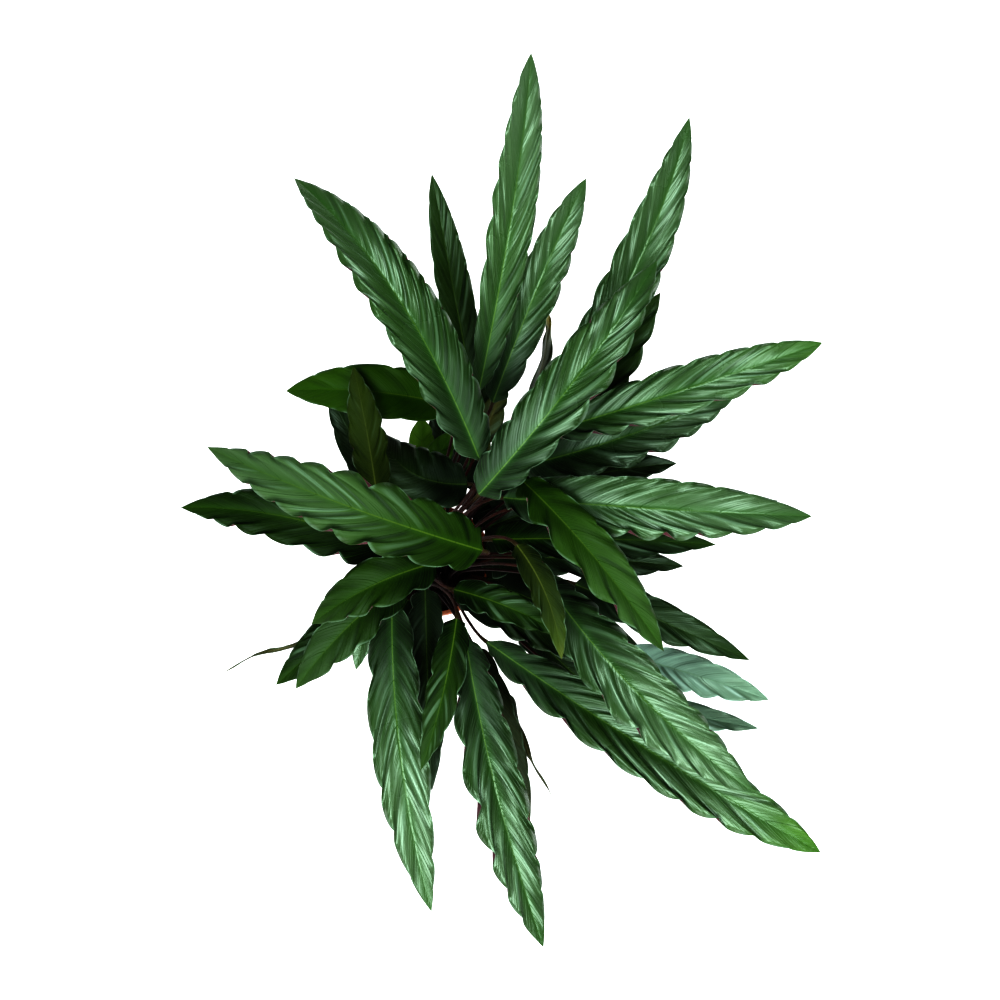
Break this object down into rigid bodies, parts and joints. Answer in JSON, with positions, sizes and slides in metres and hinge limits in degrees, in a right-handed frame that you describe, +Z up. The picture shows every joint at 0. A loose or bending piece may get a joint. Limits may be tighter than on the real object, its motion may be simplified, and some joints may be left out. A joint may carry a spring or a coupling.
{
  "type": "potted velvet calathea",
  "caption": "Potted houseplant with long lance-shaped ruffled leaves on thin stalks, growing from soil in a round tapered pot.",
  "frame": {"origin": "centre of the pot's flat base, where it stands", "axes": "+Z up, +X right and +Y away from the viewer as in the picture; the spread of the leaves is longest along Y"},
  "size_m": [0.5746, 0.7806, 0.4555],
  "materials": {
    "pot": "matte",
    "soil": "matte",
    "leaf": "satin",
    "old_leaf": "matte"
  },
  "bodies": {
    "root": {"pot": "pot", "soil": "soil", "leaf_01": "leaf", "leaf_03": "leaf", "leaf_04": "leaf", "leaf_07": "leaf", "leaf_12": "leaf", "leaf_14": "leaf", "leaf_21": "leaf", "leaf_22": "leaf", "leaf_23": "leaf", "leaf_36": "leaf", "leaf_06": "leaf", "leaf_09": "leaf", "leaf_10": "leaf", "leaf_24": "leaf", "leaf_26": "leaf", "leaf_27": "leaf", "leaf_28": "leaf", "leaf_31": "leaf", "leaf_32": "leaf", "leaf_37": "leaf", "leaf_38": "leaf", "leaf_39": "leaf", "leaf_02": "leaf", "leaf_05": "old_leaf", "leaf_08": "leaf", "leaf_11": "leaf", "leaf_13": "leaf", "leaf_15": "leaf", "leaf_16": "leaf", "leaf_17": "leaf", "leaf_18": "leaf", "leaf_19": "leaf", "leaf_20": "leaf", "leaf_25": "leaf", "leaf_29": "old_leaf", "leaf_30": "old_leaf", "leaf_33": "leaf", "leaf_34": "old_leaf", "leaf_35": "leaf", "leaf_40": "leaf", "leaf_41": "leaf", "leaf_42": "leaf", "leaf_43": "leaf", "leaf_44": "leaf", "leaf_45": "old_leaf", "leaf_46": "leaf", "leaf_47": "leaf", "leaf_48": "leaf", "leaf_49": "leaf", "leaf_50": "leaf", "leaf_51": "leaf", "leaf_52": "leaf", "leaf_53": "leaf", "leaf_54": "leaf", "leaf_55": "leaf", "leaf_56": "leaf", "leaf_57": "leaf", "leaf_58": "leaf"}
  },
  "joints": []
}
